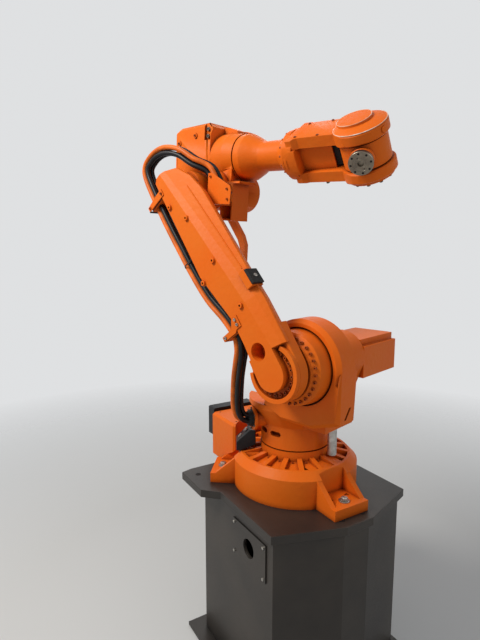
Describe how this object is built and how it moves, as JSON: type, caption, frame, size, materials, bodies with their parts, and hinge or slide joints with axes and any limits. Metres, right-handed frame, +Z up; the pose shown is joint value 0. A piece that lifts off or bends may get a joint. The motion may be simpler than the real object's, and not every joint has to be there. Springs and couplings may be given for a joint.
{
  "type": "industrial robot arm",
  "caption": "Floor-mounted jointed robot arm with a parallel rod, hose bundle and turning wrist, bolted on a welded steel plinth.",
  "frame": {"origin": "on the floor under axis 1, in the plinth's underside", "axes": "+Z up along axis 1, +X to the front of the base, +Y to its left"},
  "size_m": [1.2376, 1.083, 2.7605],
  "materials": {
    "orange_paint": "semi-gloss orange enamel on castings, slightly worn and dusty",
    "dark_steel_paint": "satin black-brown paint on welded plate, rubbed edges",
    "bare_steel": "zinc plated or bare machined steel",
    "tool_steel": "turned steel with a brown oil film",
    "black_plastic": "satin black moulding",
    "black_paint": "satin black paint",
    "black_rubber": "matt black rubber",
    "hose_rubber": "satin black hose jacket",
    "painted_hose": "hose jacket with orange overspray"
  },
  "bodies": {
    "base": {"plinth_top_plate": "dark_steel_paint", "plinth_body": "dark_steel_paint", "plinth_cable_panel": "dark_steel_paint", "plinth_floor_plate": "dark_steel_paint", "base_casting": "orange_paint", "foot_bolt_front": "bare_steel", "foot_bolt_left": "bare_steel", "foot_bolt_right": "bare_steel", "connector_housing": "orange_paint", "connector_block": "black_plastic", "stop_block": "black_paint"},
    "turret": {"turret_casting": "orange_paint", "axis2_gear_drum": "orange_paint", "stop_pin": "bare_steel", "axis3_motor_cover": "orange_paint", "axis1_motor": "black_paint", "hose_black_turret_1": "hose_rubber", "hose_black_turret_2": "hose_rubber", "hose_black_turret_3": "hose_rubber", "hose_painted_turret": "painted_hose"},
    "lower_arm": {"lower_arm_casting": "orange_paint", "damper_pad": "black_rubber", "hose_clamp_lower": "orange_paint", "hose_clamp_upper": "bare_steel", "hose_black_arm_1": "hose_rubber", "hose_black_arm_2": "hose_rubber", "hose_black_arm_3": "hose_rubber", "hose_painted_arm": "painted_hose"},
    "elbow": {"elbow_bearing": "orange_paint"},
    "upper_arm": {"arm_housing": "orange_paint", "housing_rear_cover": "orange_paint", "hose_bracket_plate": "orange_paint", "rod_pin_upper": "bare_steel", "hose_gland": "black_plastic", "hose_black_loop_1": "hose_rubber", "hose_black_loop_2": "hose_rubber", "hose_black_loop_3": "hose_rubber", "hose_painted_loop": "painted_hose"},
    "forearm": {"forearm_tube": "orange_paint", "wrist_fork": "orange_paint", "fork_cap": "orange_paint", "fork_lower_cover": "orange_paint"},
    "tilt": {"tilt_housing": "orange_paint"},
    "tool": {"tool_flange": "tool_steel"},
    "parallel_arm": {"parallel_arm": "orange_paint"},
    "rod_pin": {"rod_pin_lower": "bare_steel"},
    "rod": {"parallel_rod": "orange_paint"}
  },
  "joints": [
    {"name": "axis_1_turn", "type": "hinge", "parent": "base", "child": "turret", "pos_m": [0, 0, 1.16], "axis": [0, 0, 1], "range_deg": [-108, 150]},
    {"name": "axis_2_lower_arm", "type": "hinge", "parent": "turret", "child": "lower_arm", "pos_m": [0.19318, 0.05176, 1.6], "axis": [-0.2588, 0.9659, 0], "range_deg": [-34, 110], "deforming": ["hose_black_turret_1", "hose_black_turret_2", "hose_black_turret_3", "hose_painted_turret"]},
    {"name": "elbow_bearing_hold", "type": "hinge", "parent": "lower_arm", "child": "elbow", "pos_m": [-0.38025, -0.10189, 2.41711], "axis": [-0.2588, 0.9659, 0], "range_deg": [-110, 34], "deforming": ["hose_black_loop_1", "hose_black_loop_2", "hose_black_loop_3", "hose_painted_loop"]},
    {"name": "axis_3_upper_arm", "type": "hinge", "parent": "elbow", "child": "upper_arm", "pos_m": [-0.38025, -0.10189, 2.41711], "axis": [-0.2588, 0.9659, 0], "range_deg": [-64, 30]},
    {"name": "axis_4_forearm_roll", "type": "hinge", "parent": "upper_arm", "child": "forearm", "pos_m": [-0.34843, -0.17618, 2.5817], "axis": [0.9636, 0.2582, -0.0698], "range_deg": [-236, 164]},
    {"name": "axis_5_wrist_tilt", "type": "hinge", "parent": "forearm", "child": "tilt", "pos_m": [0.40798, 0.0265, 2.52695], "axis": [0.2066, -0.5532, 0.807], "range_deg": [-50, 190]},
    {"name": "axis_6_flange_turn", "type": "hinge", "parent": "tilt", "child": "tool", "pos_m": [0.40798, 0.0265, 2.52695], "axis": [0.4891, -0.656, -0.5748], "range_deg": [-350, 350]},
    {"name": "parallel_arm_turn", "type": "hinge", "parent": "turret", "child": "parallel_arm", "pos_m": [0.19318, 0.05176, 1.6], "axis": [-0.2588, 0.9659, 0], "range_deg": [-64, 30]},
    {"name": "rod_pin_hold", "type": "hinge", "parent": "parallel_arm", "child": "rod_pin", "pos_m": [-0.04771, -0.01278, 1.61744], "axis": [-0.2588, 0.9659, 0], "range_deg": [-30, 64]},
    {"name": "rod_swing", "type": "hinge", "parent": "rod_pin", "child": "rod", "pos_m": [-0.04771, -0.01278, 1.61744], "axis": [-0.2588, 0.9659, 0], "range_deg": [-34, 110]}
  ],
  "couplings": [
    {"joint": "elbow_bearing_hold", "follows": "axis_2_lower_arm", "ratio": -1},
    {"joint": "parallel_arm_turn", "follows": "axis_3_upper_arm", "ratio": 1},
    {"joint": "rod_pin_hold", "follows": "axis_3_upper_arm", "ratio": -1},
    {"joint": "rod_swing", "follows": "axis_2_lower_arm", "ratio": 1}
  ]
}
